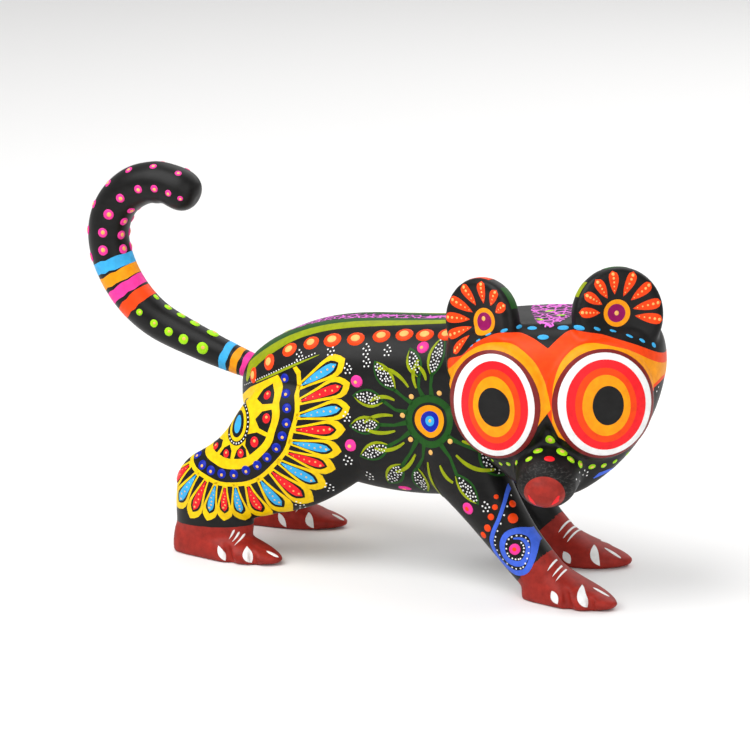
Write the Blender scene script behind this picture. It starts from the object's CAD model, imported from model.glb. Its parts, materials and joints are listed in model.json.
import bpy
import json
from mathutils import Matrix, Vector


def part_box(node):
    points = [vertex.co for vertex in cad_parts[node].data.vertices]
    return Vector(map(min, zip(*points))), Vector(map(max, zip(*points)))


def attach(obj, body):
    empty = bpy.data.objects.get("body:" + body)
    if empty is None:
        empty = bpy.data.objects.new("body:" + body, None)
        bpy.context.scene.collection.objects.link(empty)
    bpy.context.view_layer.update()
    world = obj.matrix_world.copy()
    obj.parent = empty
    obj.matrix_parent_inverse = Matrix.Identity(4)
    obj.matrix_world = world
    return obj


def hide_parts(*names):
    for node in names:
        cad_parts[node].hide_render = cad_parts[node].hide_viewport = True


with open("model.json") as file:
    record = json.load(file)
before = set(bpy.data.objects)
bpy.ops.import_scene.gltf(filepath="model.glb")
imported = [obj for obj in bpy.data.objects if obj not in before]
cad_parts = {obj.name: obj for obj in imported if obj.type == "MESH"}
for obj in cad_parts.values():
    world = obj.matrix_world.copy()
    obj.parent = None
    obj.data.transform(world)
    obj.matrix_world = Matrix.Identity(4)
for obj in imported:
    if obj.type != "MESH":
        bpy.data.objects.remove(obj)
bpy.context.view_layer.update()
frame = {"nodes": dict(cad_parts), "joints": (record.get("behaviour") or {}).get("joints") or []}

"""Carved and painted wooden animal figure, laid out as an add-on and run as a script.

Everything is in metres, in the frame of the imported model.  Lengths written in millimetres are
multiplied by MM.  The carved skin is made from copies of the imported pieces, blended and smoothed, and
cut back into one closed piece for each of them.  Paint is a thin film cut from an offset of that skin.
"""

import bpy
import json
import math
import random
from bpy.props import FloatProperty, FloatVectorProperty, IntProperty, PointerProperty
from bpy.types import Operator, Panel, PropertyGroup
from mathutils import Matrix, Vector
from mathutils.bvhtree import BVHTree

bl_info = {
    "name": "Painted Wooden Animal",
    "version": (1, 0, 0),
    "blender": (4, 5, 0),
    "location": "3D View > Sidebar > Painted Animal",
    "description": "Builds a carved wooden animal figure with its painted decoration",
    "category": "Add Mesh",
}

MM = 0.001
NODES = frame["nodes"]
GLUED = ("torso", "head", "right_ear", "left_ear",
         "right_hind_leg", "left_hind_leg", "right_fore_leg", "left_fore_leg")
TURN = next(joint for joint in frame["joints"] if joint["name"] == "tail_turn")

# ---- places taken from the frame ---------------------------------------------------------------
TORSO_LOW, TORSO_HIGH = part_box("torso")
HEAD_LOW, HEAD_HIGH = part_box("head")
MID_Y = (TORSO_LOW.y + TORSO_HIGH.y) / 2
HEAD_SHIFT = Vector((0.15, 5.31, -0.84)) * MM    # from the middle of the head's box to the skull's middle
HEAD_YAW, HEAD_ROLL = math.radians(15.5), math.radians(-3.0)
HEAD_CENTRE = (HEAD_LOW + HEAD_HIGH) / 2 + HEAD_SHIFT
HEAD = Matrix.Translation(HEAD_CENTRE) @ Matrix.Rotation(HEAD_YAW, 4, "Z") \
    @ Matrix.Rotation(HEAD_ROLL, 4, "Y")
TAIL_SEAT = Vector(TURN["pos_m"])
TAIL_WAY = Vector(TURN["axis"]).normalized()

# ---- sizes of the cuts and the coats -------------------------------------------------------------
SKIN_INSET = 0.08 * MM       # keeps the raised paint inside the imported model's box
FILM_ROOT = 0.25 * MM        # how far a film of paint reaches into the wood
SPAN_SLACK = 0.5 * MM        # a film that leaves its shell by more than this was cut wrongly
WELD_GAP = 0.001 * MM
CUTTER_GRID = 1.0 * MM
CUTTER_GROWTH = 0.8 * MM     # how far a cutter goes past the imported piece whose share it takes
HEAD_CLEARANCE = 1.2 * MM    # keeps the paint of the body off the head
TAIL_GRID = 0.5 * MM
RAY_REACH = 80               # millimetres from a drawing frame to where a dot's ray starts
SPECK = 0.34                 # half width of the smallest white dots, in millimetres
FINE = {"count": 8, "rings": 2}
SMALL = {"count": 10, "rings": 3}

# Near and far ends of the stencils, in millimetres along a drawing frame's z
FLANK = (2, 60)
FRONT = (-2, 50)
OVERHEAD = (40, 110)


# ---- sizes and colours a user would change -----------------------------------------------------
def colour(name, description, value):
    """A colour property with its default."""
    return FloatVectorProperty(name=name, description=description, default=value,
                               subtype="COLOR", size=3, min=0.0, max=1.0)


class PaintColours(PropertyGroup):
    """Colours of the paints, as linear values."""

    black: colour("Black", "Base coat", (0.0045, 0.0042, 0.004))
    brick: colour("Brick", "Paws and nose", (0.33, 0.022, 0.014))
    maroon: colour("Maroon", "Rims of the eyes", (0.2, 0.014, 0.014))
    white: colour("White", "Eye rings, nails and small dots", (0.88, 0.88, 0.87))
    scarlet: colour("Scarlet", "Inner eye ring and petals", (0.95, 0.012, 0.02))
    vermilion: colour("Vermilion", "Brow, ovals and petals", (0.95, 0.06, 0.002))
    amber: colour("Amber", "Eye ring, brow and bands", (0.98, 0.33, 0.0))
    yellow: colour("Yellow", "Outlines of the fans", (0.92, 0.6, 0.0))
    gold: colour("Gold", "Small raised dots", (0.92, 0.5, 0.14))
    sky: colour("Sky", "Light blue bands and petals", (0.045, 0.42, 0.8))
    blue: colour("Blue", "Large blue dots", (0.003, 0.018, 0.4))
    cornflower: colour("Cornflower", "Scroll on the front leg", (0.055, 0.14, 0.74))
    pink: colour("Pink", "Large pink dots and bands", (0.95, 0.04, 0.34))
    orchid: colour("Orchid", "Net on the back", (0.72, 0.13, 0.62))
    magenta: colour("Magenta", "Discs in the ears", (0.28, 0.0, 0.1))
    lime: colour("Lime", "Dots on the tail and face", (0.36, 0.74, 0.004))
    olive: colour("Olive", "Leaf strokes", (0.3, 0.36, 0.0))
    green: colour("Green", "Flower ring and leaf outlines", (0.01, 0.08, 0.006))


class CarvingSizes(PropertyGroup):
    """Sizes of the carved skin and of the paint films."""

    voxel: FloatProperty(name="Skin grid", description="Spacing of the carved skin's mesh",
                         default=0.62 * MM, min=0.3 * MM, unit="LENGTH")
    blend_steps: IntProperty(name="Blend steps", description="How far pieces flow into each other",
                             default=11, min=0)
    film: FloatProperty(name="Film height", description="Thickness of one coat of decoration",
                        default=0.055 * MM, min=0.01 * MM, unit="LENGTH")
    dot_rise: FloatProperty(name="Dot rise", description="Height of a paint dot over its radius",
                            default=0.24, min=0.05)


def colours():
    return bpy.context.scene.paint_colours


def sizes():
    return bpy.context.scene.carving_sizes


# ---- mesh helpers ------------------------------------------------------------------------------
def only(*objects):
    """Selects just these objects and makes the first one active."""
    if bpy.context.object and bpy.context.object.mode != "OBJECT":
        bpy.ops.object.mode_set(mode="OBJECT")
    bpy.ops.object.select_all(action="DESELECT")
    for piece in objects:
        piece.select_set(True)
    bpy.context.view_layer.objects.active = objects[0]


def link(name, mesh):
    """A new object in the scene."""
    piece = bpy.data.objects.new(name, mesh)
    bpy.context.scene.collection.objects.link(piece)
    return piece


def twin(piece, name):
    """A copy with its own mesh."""
    return link(name, piece.data.copy())


def drop(*objects):
    """Removes objects and the meshes only they used."""
    for piece in objects:
        mesh = piece.data
        bpy.data.objects.remove(piece)
        if mesh.users == 0:
            bpy.data.meshes.remove(mesh)


def join(objects, name):
    """Makes one object of several."""
    only(*objects)
    if len(objects) > 1:
        bpy.ops.object.join()
    piece = bpy.context.object
    piece.name = name
    return piece


def weld(piece, gap=WELD_GAP):
    """Merges doubled points."""
    only(piece)
    bpy.ops.object.mode_set(mode="EDIT")
    bpy.ops.mesh.select_all(action="SELECT")
    bpy.ops.mesh.remove_doubles(threshold=gap)
    bpy.ops.object.mode_set(mode="OBJECT")


def modify(piece, kind, **settings):
    """Adds a modifier with these settings and applies it."""
    only(piece)
    modifier = piece.modifiers.new(kind.title(), kind)
    for key, value in settings.items():
        setattr(modifier, key, value)
    bpy.ops.object.modifier_apply(modifier=modifier.name)
    return piece


def cut(piece, tool, operation):
    """Boolean of two closed meshes; the tool stays."""
    return modify(piece, "BOOLEAN", operation=operation, object=tool, solver="MANIFOLD")


def bake_place(piece):
    """Puts an object's place into its mesh."""
    only(piece)
    bpy.ops.object.transform_apply(location=True, rotation=True, scale=True)
    return piece


def soften(piece, angle=40):
    """Smooth shading up to an angle in degrees."""
    only(piece)
    bpy.ops.object.shade_smooth_by_angle(angle=math.radians(angle))
    return piece


def keep_largest(piece):
    """Deletes every loose part but the one with the most points."""
    mesh = piece.data
    near = [[] for _ in mesh.vertices]
    for edge in mesh.edges:
        a, b = edge.vertices
        near[a].append(b)
        near[b].append(a)
    group = [-1] * len(near)
    counts = []
    for start in range(len(near)):
        if group[start] >= 0:
            continue
        group[start] = len(counts)
        queue, found = [start], 0
        while queue:
            found += 1
            for other in near[queue.pop()]:
                if group[other] < 0:
                    group[other] = len(counts)
                    queue.append(other)
        counts.append(found)
    if len(counts) < 2:
        return piece
    biggest = counts.index(max(counts))
    only(piece)
    bpy.ops.object.mode_set(mode="EDIT")
    bpy.ops.mesh.select_all(action="DESELECT")
    bpy.ops.object.mode_set(mode="OBJECT")
    mesh.vertices.foreach_set("select", [number != biggest for number in group])
    bpy.ops.object.mode_set(mode="EDIT")
    bpy.ops.mesh.delete(type="VERT")
    bpy.ops.object.mode_set(mode="OBJECT")
    return piece


# ---- paints ------------------------------------------------------------------------------------
def paint(name, value, rough=0.42, streak=(1.0, 1.0, 1.0), depth=0.17, dust=0.0, shine=0.18):
    """Brushed satin acrylic: streaky colour, uneven gloss and a faint brush relief."""
    material = bpy.data.materials.get(name)
    if material:
        return material
    material = bpy.data.materials.new(name)
    material.use_nodes = True
    nodes, links = material.node_tree.nodes, material.node_tree.links
    shader = nodes["Principled BSDF"]
    shader.inputs["Specular IOR Level"].default_value = shine
    place = nodes.new("ShaderNodeTexCoord")
    turn = nodes.new("ShaderNodeMapping")
    turn.inputs["Scale"].default_value = streak
    links.new(place.outputs["Object"], turn.inputs["Vector"])

    brush = nodes.new("ShaderNodeTexNoise")
    brush.inputs["Scale"].default_value = 420.0
    brush.inputs["Detail"].default_value = 4.0
    brush.inputs["Roughness"].default_value = 0.6
    links.new(turn.outputs["Vector"], brush.inputs["Vector"])
    cloud = nodes.new("ShaderNodeTexNoise")
    cloud.inputs["Scale"].default_value = 75.0
    cloud.inputs["Detail"].default_value = 3.0
    links.new(place.outputs["Object"], cloud.inputs["Vector"])

    ramp = nodes.new("ShaderNodeValToRGB")
    dark, light = ramp.color_ramp.elements
    dark.position, light.position = 0.30, 0.72
    dark.color = [c * (1 - depth) for c in value] + [1.0]
    light.color = [min(1.0, c * (1 + 0.6 * depth) + dust) for c in value] + [1.0]
    links.new(brush.outputs["Fac"], ramp.inputs["Fac"])
    tone = nodes.new("ShaderNodeMixRGB")
    tone.blend_type = "MULTIPLY"
    tone.inputs["Fac"].default_value = 0.16
    links.new(ramp.outputs["Color"], tone.inputs["Color1"])
    links.new(cloud.outputs["Fac"], tone.inputs["Color2"])
    links.new(tone.outputs["Color"], shader.inputs["Base Color"])

    gloss = nodes.new("ShaderNodeMapRange")
    gloss.inputs["To Min"].default_value = rough - 0.10
    gloss.inputs["To Max"].default_value = rough + 0.14
    links.new(cloud.outputs["Fac"], gloss.inputs["Value"])
    links.new(gloss.outputs["Result"], shader.inputs["Roughness"])

    relief = nodes.new("ShaderNodeBump")
    relief.inputs["Strength"].default_value = 0.30
    relief.inputs["Distance"].default_value = 0.05 * MM
    links.new(brush.outputs["Fac"], relief.inputs["Height"])
    links.new(relief.outputs["Normal"], shader.inputs["Normal"])
    return material


def plain(key, **settings):
    """The paint of one named colour."""
    return paint(f"{key}_paint", getattr(colours(), key), **settings)


def base_black():
    return paint("black_paint", colours().black, rough=0.38, streak=(0.35, 1.0, 1.0), depth=0.3, dust=0.003,
                 shine=0.2)


def coat(piece, material):
    """Gives the whole piece one paint."""
    piece.data.materials.clear()
    piece.data.materials.append(material)
    return piece


def finish_piece(piece, body="figure", stands_for=()):
    """Puts a piece on its body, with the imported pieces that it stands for."""
    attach(piece, body)
    if stands_for:
        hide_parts(*stands_for)
    return piece


def dry_brush():
    """Black with grey dragged over its high spots by a nearly dry brush."""
    material = paint("dry_brush", colours().black, rough=0.5)
    nodes, links = material.node_tree.nodes, material.node_tree.links
    shader = nodes["Principled BSDF"]
    base = shader.inputs["Base Color"].links[0].from_socket
    drag = nodes.new("ShaderNodeMapping")
    drag.inputs["Scale"].default_value = (1.0, 0.35, 1.6)
    links.new(nodes["Texture Coordinate"].outputs["Object"], drag.inputs["Vector"])
    grain = nodes.new("ShaderNodeTexNoise")
    grain.inputs["Scale"].default_value = 1100.0
    grain.inputs["Detail"].default_value = 6.0
    grain.inputs["Roughness"].default_value = 0.75
    links.new(drag.outputs["Vector"], grain.inputs["Vector"])
    ramp = nodes.new("ShaderNodeValToRGB")
    ramp.color_ramp.elements[0].position = 0.50
    ramp.color_ramp.elements[0].color = (0, 0, 0, 1)
    ramp.color_ramp.elements[1].position = 0.95
    ramp.color_ramp.elements[1].color = (0.6, 0.6, 0.6, 1)
    links.new(grain.outputs["Fac"], ramp.inputs["Fac"])
    mix = nodes.new("ShaderNodeMixRGB")
    mix.inputs["Color2"].default_value = (0.22, 0.21, 0.20, 1)
    links.new(ramp.outputs["Color"], mix.inputs["Fac"])
    links.new(base, mix.inputs["Color1"])
    links.new(mix.outputs["Color"], shader.inputs["Base Color"])
    return material


def net_paint():
    """Orchid squiggles forming a net over the black base."""
    material = bpy.data.materials.get("net_paint")
    if material:
        return material
    material = paint("net_paint", colours().black, rough=0.42)
    nodes, links = material.node_tree.nodes, material.node_tree.links
    shader = nodes["Principled BSDF"]
    base = shader.inputs["Base Color"].links[0].from_socket
    place = nodes["Texture Coordinate"]
    wobble = nodes.new("ShaderNodeTexNoise")
    wobble.inputs["Scale"].default_value = 260.0
    shift = nodes.new("ShaderNodeVectorMath")
    shift.operation = "SCALE"
    shift.inputs["Scale"].default_value = 1.6 * MM
    links.new(place.outputs["Object"], wobble.inputs["Vector"])
    links.new(wobble.outputs["Color"], shift.inputs[0])
    add = nodes.new("ShaderNodeVectorMath")
    links.new(place.outputs["Object"], add.inputs[0])
    links.new(shift.outputs["Vector"], add.inputs[1])
    cells = nodes.new("ShaderNodeTexVoronoi")
    cells.feature = "DISTANCE_TO_EDGE"
    cells.inputs["Scale"].default_value = 360.0
    links.new(add.outputs["Vector"], cells.inputs["Vector"])
    ramp = nodes.new("ShaderNodeValToRGB")
    ramp.color_ramp.elements[0].position = 0.075
    ramp.color_ramp.elements[0].color = (1, 1, 1, 1)
    ramp.color_ramp.elements[1].position = 0.115
    ramp.color_ramp.elements[1].color = (0, 0, 0, 1)
    links.new(cells.outputs["Distance"], ramp.inputs["Fac"])
    mix = nodes.new("ShaderNodeMixRGB")
    mix.inputs["Color2"].default_value = (*colours().orchid, 1)
    links.new(ramp.outputs["Color"], mix.inputs["Fac"])
    links.new(base, mix.inputs["Color1"])
    links.new(mix.outputs["Color"], shader.inputs["Base Color"])
    return material


# ---- the carved skin ---------------------------------------------------------------------------
SKIN = {}
PIECES = {}
SPANS = {}


def solid_copy(node, name):
    """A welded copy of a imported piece."""
    piece = twin(NODES[node], name)
    weld(piece)
    return piece


def swollen(node, by):
    """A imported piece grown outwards, to cut its share from the carved skin."""
    piece = solid_copy(node, f"{node}_cutter")
    modify(piece, "REMESH", mode="VOXEL", voxel_size=CUTTER_GRID)
    modify(piece, "DISPLACE", strength=by, mid_level=0.0)
    return piece


def carve_skin():
    """One blended skin round all the glued pieces, with toe grooves."""
    whole = join([solid_copy(node, f"{node}_blank") for node in GLUED], "carving")
    modify(whole, "REMESH", mode="VOXEL", voxel_size=sizes().voxel)
    for leg in ("right_hind_leg", "left_hind_leg", "right_fore_leg", "left_fore_leg"):
        for tool in toe_grooves(leg):
            cut(whole, tool, "DIFFERENCE")
            drop(tool)
    modify(whole, "REMESH", mode="VOXEL", voxel_size=sizes().voxel)
    modify(whole, "SMOOTH", factor=0.5, iterations=sizes().blend_steps)
    modify(whole, "DISPLACE", strength=-SKIN_INSET, mid_level=0.0)
    return whole


def toe_grooves(leg):
    """Tapered grooves that part the outer toes of one paw."""
    low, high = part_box(leg)
    side = -1 if leg.startswith("right") else 1
    tree = BVHTree.FromObject(NODES[leg], bpy.context.evaluated_depsgraph_get())
    marks = (low.x / MM + 25.4, low.x / MM + 34.4) if "hind" in leg else (high.x / MM - 15.1,
                                                                          high.x / MM - 7.1)
    tools = []
    for index, x in enumerate(marks):
        start = Vector((x * MM, MID_Y + side * 60 * MM, 2.0 * MM))
        hit = tree.ray_cast(start, Vector((0, -side, 0)), 60 * MM)[0]
        if hit is None:
            raise RuntimeError(f"no paw where {leg} should have a groove")
        foot = hit + Vector((1.6, side * 0.9, -3.4)) * MM
        crest = hit + Vector((-2.6, -side * 3.4, 7.6 - 1.2 * index)) * MM
        span = crest - foot
        only(NODES["torso"])
        bpy.ops.mesh.primitive_cone_add(vertices=10, radius1=2.3 * MM, radius2=0.5 * MM, depth=span.length,
                                        location=(foot + crest) / 2,
                                        rotation=span.to_track_quat("Z", "Y").to_euler())
        tools.append(bake_place(bpy.context.object))
    return tools


def share_out(whole):
    """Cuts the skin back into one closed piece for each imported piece."""
    rest = twin(whole, "torso_carving")
    order = ("right_hind_leg", "left_hind_leg", "right_fore_leg", "left_fore_leg",
             "right_ear", "left_ear", "head")
    pieces = {}
    for node in order:
        tool = swollen(node, CUTTER_GROWTH)
        piece = twin(rest, f"{node}_carving")
        cut(piece, tool, "INTERSECT")
        cut(rest, tool, "DIFFERENCE")
        drop(tool)
        pieces[node] = keep_largest(piece)
    pieces["torso"] = keep_largest(rest)
    return pieces


def offset(piece, by, name):
    """A copy of a skin, moved along its normals."""
    return modify(twin(piece, name), "DISPLACE", strength=by, mid_level=0.0)


def block(low, high):
    """A box between two corners, in millimetres, with Y measured from the middle of the body."""
    low, high = (Vector(corner) * MM + Vector((0, MID_Y, 0)) for corner in (low, high))
    only(NODES["torso"])
    bpy.ops.mesh.primitive_cube_add(size=1.0, location=(low + high) / 2, scale=high - low)
    return bake_place(bpy.context.object)


REGIONS = {
    "right": (((-75, -60, -2), (110, -2, 96)), ((-80, -18, -5), (45, 18, 27)),
              ((8, -12, -5), (75, 60, 25))),
    "left": (((-75, 2, -2), (110, 60, 96)), ((-80, -18, -5), (30, 18, 27)), ((8, -60, -5), (75, 12, 25))),
    "inner": (((-75, -60, -2), (110, 60, 30)),),
    "back": (((-60, -24, 50), (70, 24, 96)),),
    "head": (((12, -70, 34), (120, 20, 125)),),
    "nape": (((25, -70, 34), (120, 20, 95)),),
}


def shell(where, level):
    """A hollow skin as thick as some coats of paint, made once for each region and level."""
    key = (where, level)
    if key in SKIN:
        return SKIN[key]
    source = "tail" if where == "tail" else "whole"
    full = (source, level, "full")
    if full not in SKIN:
        outer = offset(SKIN[source], level * sizes().film, "outer_skin")
        inner = offset(SKIN[source], -FILM_ROOT, "inner_skin")
        cut(outer, inner, "DIFFERENCE")
        drop(inner)
        SKIN[full] = outer
    piece = twin(SKIN[full], f"{where}_{level}_shell")
    if where in REGIONS:
        first, *others = REGIONS[where]
        tools = [(block(*first), "INTERSECT")] + [(block(*other), "DIFFERENCE") for other in others]
        for tool, operation in tools:
            cut(piece, tool, operation)
            drop(tool)
        if where in ("right", "left", "back"):
            if "head_cutter" not in SKIN:
                SKIN["head_cutter"] = swollen("head", HEAD_CLEARANCE)
            cut(piece, SKIN["head_cutter"], "DIFFERENCE")
    SKIN[key] = piece
    SPANS[piece.name] = span_of(piece)
    return piece


def surface(name):
    """A tree for finding points on the skin of the body, the head or the tail."""
    key = ("tree", name)
    if key not in SKIN:
        SKIN[key] = BVHTree.FromObject(SKIN[name], bpy.context.evaluated_depsgraph_get())
    return SKIN[key]


# ---- painting tools ----------------------------------------------------------------------------
def side_frame(side):
    """A flat drawing frame on the animal's flank: x forward, y up, and z out of the body."""
    basis = Matrix(((1, 0, 0), (0, 0, side), (0, 1, 0))).to_4x4()
    return Matrix.Translation((0, MID_Y, 0)) @ basis


def face_frame(x=0.0, z=0.0, splay=0.0, ahead=0.0):
    """A drawing frame on the head that faces forward, or to one side by splay degrees."""
    basis = Matrix(((1, 0, 0), (0, 0, -1), (0, 1, 0))).to_4x4()
    turn = Matrix.Rotation(math.radians(splay), 4, "Z")
    return HEAD @ Matrix.Translation(Vector((x, -ahead, z)) * MM) @ turn @ basis


def circle(x, y, half_x, half_y=None, count=48, turn=0.0):
    """Points round a circle or an oval."""
    half_y = half_x if half_y is None else half_y
    c, s = math.cos(turn), math.sin(turn)
    points = []
    for step in range(count):
        angle = math.tau * step / count
        a, b = half_x * math.cos(angle), half_y * math.sin(angle)
        points.append((x + a * c - b * s, y + a * s + b * c))
    return points


def stroke(points, widths):
    """The outline of a brush stroke along points, with a half width at each one."""
    left, right = [], []
    for index, (x, y) in enumerate(points):
        ax, ay = points[max(index - 1, 0)]
        bx, by = points[min(index + 1, len(points) - 1)]
        run = math.hypot(bx - ax, by - ay) or 1.0
        nx, ny = -(by - ay) / run, (bx - ax) / run
        half = widths[index] if not isinstance(widths, float) else widths
        left.append((x + nx * half, y + ny * half))
        right.append((x - nx * half, y - ny * half))
    return left + right[::-1]


def polar(x, y, angle, radius):
    """A point at an angle and a distance from x, y."""
    return x + radius * math.cos(angle), y + radius * math.sin(angle)


def stencil(name, loops, place, near, far):
    """A prism through outlines drawn in millimetres in a frame, from near to far along its z.

    The first outline is the outer one; any others are holes in it."""
    curve = bpy.data.curves.new(name, "CURVE")
    curve.dimensions = "2D"
    curve.fill_mode = "BOTH"
    curve.extrude = (far - near) / 2 * MM
    for loop in loops:
        spline = curve.splines.new("POLY")
        spline.points.add(len(loop) - 1)
        for point, (x, y) in zip(spline.points, loop):
            point.co = (x * MM, y * MM, 0.0, 1.0)
        spline.use_cyclic_u = True
    piece = bpy.data.objects.new(name, curve)
    bpy.context.scene.collection.objects.link(piece)
    only(piece)
    bpy.ops.object.convert(target="MESH")
    piece = bpy.context.object
    piece.matrix_world = place @ Matrix.Translation((0, 0, (near + far) / 2 * MM))
    bake_place(piece)
    only(piece)
    bpy.ops.object.mode_set(mode="EDIT")
    bpy.ops.mesh.select_all(action="SELECT")
    bpy.ops.mesh.remove_doubles(threshold=WELD_GAP)
    bpy.ops.mesh.normals_make_consistent(inside=False)
    bpy.ops.object.mode_set(mode="OBJECT")
    return piece


def span_of(piece):
    """Low corner and negated high corner, so that one test does for both."""
    corners = [vertex.co for vertex in piece.data.vertices]
    return [min(c[i] for c in corners) for i in range(3)] + [-max(c[i] for c in corners) for i in range(3)]


def trim(prisms, cover):
    """Cuts prisms down to a shell; returns None where the result isn't a thin film on it."""
    piece = join(prisms, prisms[0].name)
    before = len(piece.data.polygons)
    cut(piece, cover, "INTERSECT")
    count = len(piece.data.polygons)
    if count and (count == before or any(a < b - SPAN_SLACK for a,
                                         b in zip(span_of(piece), SPANS[cover.name]))):
        drop(piece)
        return None
    return piece


def film(name, loops, place, where, level, material, near=-60.0, far=60.0, body="figure", holes=False):
    """A thin coat of paint inside outlines, following the skin; None where none of it lands there.

    Outlines that touch can spoil each other's cut, so they are then cut one by one."""
    groups = [loops] if holes else [[loop] for loop in loops]
    cover = shell(where, level)
    piece = trim([stencil(name, group, place, near, far) for group in groups], cover)
    if piece is None:
        coatings = [trim([stencil(name, group, place, near, far)], cover) for group in groups]
        coatings = [coating for coating in coatings if coating]
        if not coatings:
            raise RuntimeError(f"{name} could not be laid on the skin")
        piece = join(coatings, name)
    if not piece.data.polygons:
        drop(piece)
        return None
    piece.name = name
    coat(piece, material)
    return finish_piece(soften(piece), body)


def smooth(points, closed=False, steps=6):
    """A flowing line through the points."""
    total = len(points)
    spans = total if closed else total - 1
    line = []
    for index in range(spans):
        near = [points[(index + k) % total] if closed else points[min(max(index + k, 0), total - 1)]
                for k in (-1, 0, 1, 2)]
        for step in range(steps):
            t = step / steps
            line.append(tuple(0.5 * (2 * b + (c - a) * t + (2 * a - 5 * b + 4 * c - d) * t ** 2
                                     + (3 * b - a - 3 * c + d) * t ** 3)
                              for a, b, c, d in zip(*near)))
    return line if closed else line + [points[-1]]


def blade(x, y, angle, near, far, half, belly=0.62, round_tip=True, count=9):
    """A petal outline on a ray from x, y: thin at the near end and widest at the belly."""
    shares = [k / count for k in range(count + 1)]
    sides = ([], [])
    for share in shares:
        if share < belly:
            width = math.sin(share / belly * math.pi / 2) ** 0.9
        else:
            rest = (share - belly) / (1 - belly)
            width = math.sqrt(max(0.0, 1 - rest ** 2)) if round_tip else math.cos(rest * math.pi / 2) ** 0.8
        along = near + (far - near) * share
        for side, sign in zip(sides, (1, -1)):
            off = sign * half * width
            side.append((x + along * math.cos(angle) - off * math.sin(angle),
                         y + along * math.sin(angle) + off * math.cos(angle)))
    return sides[0] + sides[1][-2:0:-1]


def between(knots, value):
    """A value read off a list of (position, value) knots."""
    for (a, low), (b, high) in zip(knots, knots[1:]):
        if value <= b or (b, high) == knots[-1]:
            share = min(1.0, max(0.0, (value - a) / (b - a)))
            share = share * share * (3 - 2 * share)
            return low + (high - low) * share
    return knots[0][1]


def dome(count, rings):
    """A unit paint dot: a flattened half ball whose rim reaches a little below its foot."""
    only(NODES["torso"])
    bpy.ops.mesh.primitive_uv_sphere_add(segments=count, ring_count=rings * 2, radius=1.0)
    piece = bpy.context.object
    only(piece)
    bpy.ops.object.mode_set(mode="EDIT")
    bpy.ops.mesh.select_all(action="SELECT")
    bpy.ops.mesh.bisect(plane_co=(0, 0, -0.05), plane_no=(0, 0, 1), use_fill=True, clear_inner=True)
    bpy.ops.object.mode_set(mode="OBJECT")
    return piece


def dots(name, places, where, material, body="figure", count=14, rings=4, lift=0.0, rise=None):
    """Paint dots: each place is a frame, x and y in it, its half sizes, its turn.

    A place whose ray passes the skin by gets no dot."""
    seed = dome(count, rings)
    points = [vertex.co.copy() for vertex in seed.data.vertices]
    faces = [tuple(face.vertices) for face in seed.data.polygons]
    drop(seed)
    tree = surface(where)
    verts, polys = [], []
    rise = sizes().dot_rise if rise is None else rise
    for place, x, y, half_x, half_y, turn, *more in places:
        way = (place.to_3x3() @ Vector((0, 0, -1))).normalized()
        start = place @ Vector((x * MM, y * MM, 0.0)) - way * RAY_REACH * MM
        hit, normal, _, _ = tree.ray_cast(start, way, 2 * RAY_REACH * MM)
        if hit is None:
            continue
        across = (place.to_3x3() @ Vector((math.cos(turn), math.sin(turn), 0.0)))
        across = (across - normal * across.dot(normal)).normalized()
        along = normal.cross(across)
        height = rise * min(half_x, half_y)
        base = len(verts)
        sink = 0.12 * height + max(half_x, half_y) ** 2 / 70.0
        foot = hit + normal * ((more[0] if more else lift) - sink) * MM
        for p in points:
            verts.append(foot + across * p.x * half_x * MM + along * p.y * half_y * MM
                         + normal * p.z * (height + sink) * MM)
        polys.extend([tuple(base + index for index in face) for face in faces])
    mesh = bpy.data.meshes.new(name)
    mesh.from_pydata(verts, [], polys)
    piece = coat(link(name, mesh), material)
    return finish_piece(soften(piece, 60), body)


def hearts(rows, share, shift=(0.0, 0.0), rise=None):
    """Places for small dots that sit on top of larger ones."""
    rise = sizes().dot_rise if rise is None else rise
    return [(place, x + shift[0] * a, y + shift[1] * b, a * share, b * share, turn, 0.86 * rise * min(a, b))
            for place, x, y, a, b, turn, *_ in rows]


CLUSTER = ((0.0, 0.0), (1.25, 0.35), (-1.15, 0.5), (0.55, 1.3), (-0.65, -1.15), (0.9, -0.95), (-0.5, 1.9))


def clusters(place, centres):
    """Places for little groups of white specks."""
    return [(place, x + dx, y + dy, SPECK, SPECK, 0.0) for x, y in centres for dx, dy in CLUSTER]


# Radius in millimetres and sweep in degrees of each arc of the tail's middle line
TAIL_ARCS = ((300.0, 7.4), (39.0, 52.0), (20.5, 131.0))


def spine(along):
    """Place and heading of the tail's middle line, in millimetres and radians."""
    x, z = TAIL_SEAT.x / MM, TAIL_SEAT.z / MM
    heading = math.atan2(TAIL_WAY.z, TAIL_WAY.x)
    heading = heading if math.cos(heading) < 0 else heading + math.pi
    for radius, sweep in TAIL_ARCS:
        run = min(along, radius * math.radians(sweep))
        turned = heading - run / radius
        x += radius * (math.sin(heading) - math.sin(turned))
        z += radius * (math.cos(turned) - math.cos(heading))
        heading = turned
        along -= run
        if along <= 0:
            break
    return x + along * math.cos(heading), z + along * math.sin(heading), heading


def spine_axes(along):
    """Origin, direction along the tail and direction out of its curl."""
    x, z, heading = spine(along)
    tangent = Vector((math.cos(heading), 0, math.sin(heading)))
    outer = Vector((-math.sin(heading), 0, math.cos(heading)))
    return Vector((x * MM, MID_Y, z * MM)), tangent, outer


def axes_frame(origin, x_axis, z_axis):
    """A drawing frame from two of its axes."""
    y_axis = z_axis.cross(x_axis)
    basis = Matrix((x_axis, y_axis, z_axis)).transposed().to_4x4()
    return Matrix.Translation(origin) @ basis


def spine_frame(along):
    """A frame across the tail: x along it and y towards the outside of the curl."""
    origin, tangent, outer = spine_axes(along)
    return axes_frame(origin, tangent, tangent.cross(outer))


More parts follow.
